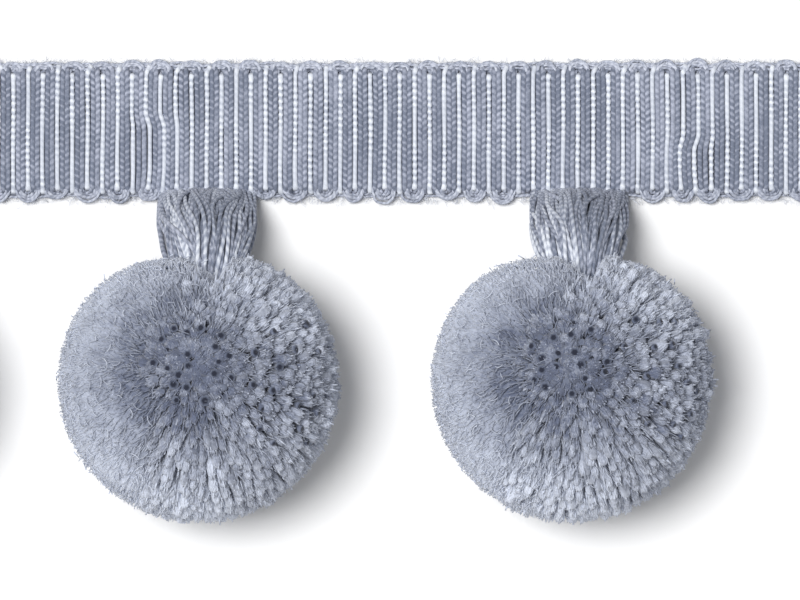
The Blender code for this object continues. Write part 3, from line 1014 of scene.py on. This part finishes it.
def pompom_core(middle, seed):
    """The felted inside, in rings from its low pole to its high one: at the surface where it is brushed."""
    polar = np.linspace(0.03, math.pi - 0.03, CORE_RINGS)
    turn = 2 * np.pi * np.arange(CORE_SIDES) / CORE_SIDES
    ways = np.stack(np.broadcast_arrays(
        np.sin(polar)[:, None] * np.cos(turn),
        np.sin(polar)[:, None] * np.sin(turn),
        -np.cos(polar)[:, None],
    ), -1)
    brushed = brushed_share(ways, seed)
    reach = ball_reach(ways, 0.22, 28.0) * (0.86 + 0.12 * brushed) + 0.13 * drift(ways, 0.13, seed)
    points = (middle + ways * reach[..., None])[None]
    points[..., 2] = np.maximum(points[..., 2], 3 * TABLE_GAP)
    below = lies_below(ways)
    # Painted shade: along stays low deep under the tufts, so the inside is dark there, and tint darkens the
    # underside.
    along = 0.05 + 0.85 * brushed + (0.25 + 0.45 * below) * (1 - brushed) * ease(off_crown(ways), 20, 50)
    tint = pile_tone_and_painted_light(ways, seed) - 0.25 * ease(-ways[..., 2], 0.3, 0.6)
    return loft(points, turn=0.0, tint=tint[None], along=along[None], ply=0.0)


def pompom_yarn(pompom, neck_x, seed):
    """All the parts of one pompom. Fibre ends are left out underneath."""
    rng = np.random.default_rng(seed + 5)
    middle = ball_middle(pompom)
    ways, pits = tuft_ways(seed)
    tips, pointing, brushed, pale, lean = tufts(ways, middle, neck_x, seed)
    seen = tips[:, 2] > middle[2] - 0.5 * BALL_RADIUS
    return [
        pompom_core(middle, seed),
        tuft_bodies(tips, pointing, brushed, pale, lean, rng),
        pit_shade_plugs(pits, middle, rng),
        tuft_ends(tips[seen], pointing[seen], pale[seen], rng),
        lying_fibres(pits, middle, neck_x, seed, rng),
        stray_hairs(middle, neck_x, seed, rng),
        surface_curls(middle, seed, rng),
    ]


for number, (pompom, neck_x) in enumerate(zip(POMPOMS, NECK_X)):
    yarn = pompom_yarn(pompom, neck_x, 100 + 17 * number)
    make_piece(f"pompom_yarn_{number + 1}", yarn, pile_finish, [pompom])

# %% [markdown]
# The braid's ground is a sheet of cloth: it lies flat, and the ribs, threads and loops are woven on it.

# %% [markdown]
# The trim lies on a white table under one wide soft light, a little to the left, with the whole room pale.
# The camera looks straight down through a long lens.

# %% Table, light and camera
FIELD_WIDTH = 0.107  # what the camera sees across at the pompoms' middle
CAMERA_HEIGHT = 2.5  # above the pompoms' middle
CAMERA_AT = (2.04 * MM, -1.2 * MM)
SENSOR = 36
ROOM_STRENGTH = 0.43


def white_table():
    """A wide white plane."""
    half = 15.0
    corners = [(-half, -half, 0), (half, -half, 0), (half, half, 0), (-half, half, 0)]
    mesh = bpy.data.meshes.new("table")
    mesh.from_pydata(corners, [], [(0, 1, 2, 3)])
    finish = Finish("table_white", Roughness=1.0, Specular_IOR_Level=0.0)
    pale = finish.noise(40.0)
    mesh.materials.append(finish.finish(finish.mix(pale * 0.1, (0.80, 0.80, 0.80), (0.78, 0.78, 0.78))))
    table = bpy.data.objects.new("table", mesh)
    bpy.context.scene.collection.objects.link(table)


def soft_sun(strength, across_degrees, from_left, from_top):
    """A sun whose light comes from that many degrees left of and above straight overhead."""
    light = bpy.data.lights.new("key", "SUN")
    light.energy = strength
    light.angle = math.radians(across_degrees)
    lamp = bpy.data.objects.new("key", light)
    way = Vector((-math.tan(math.radians(from_left)), math.tan(math.radians(from_top)), 1))
    lamp.rotation_euler = way.to_track_quat("Z", "Y").to_euler()
    bpy.context.scene.collection.objects.link(lamp)


def overhead_camera():
    """A camera that looks straight down, with the lens that sees FIELD_WIDTH at the pompoms' middle."""
    camera = bpy.data.cameras.new("camera")
    camera.sensor_width = SENSOR
    camera.lens = SENSOR * CAMERA_HEIGHT / FIELD_WIDTH
    camera.clip_start, camera.clip_end = 0.05, 50
    holder = bpy.data.objects.new("camera", camera)
    holder.location = (*CAMERA_AT, CAMERA_HEIGHT + (BALL_RADIUS - SINK) * MM)
    bpy.context.scene.collection.objects.link(holder)
    bpy.context.scene.camera = holder
    print(f"lens {camera.lens:.0f} mm, {holder.location.z:.3f} m above the table")


white_table()
soft_sun(strength=3.4, across_degrees=22, from_left=14.5, from_top=5)
overhead_camera()
world = bpy.data.worlds.new("room")
world.use_nodes = True
world.node_tree.nodes["Background"].inputs["Color"].default_value = (1, 1, 1, 1)
world.node_tree.nodes["Background"].inputs["Strength"].default_value = ROOM_STRENGTH
bpy.context.scene.world = world
bpy.context.scene.view_settings.view_transform = "Standard"
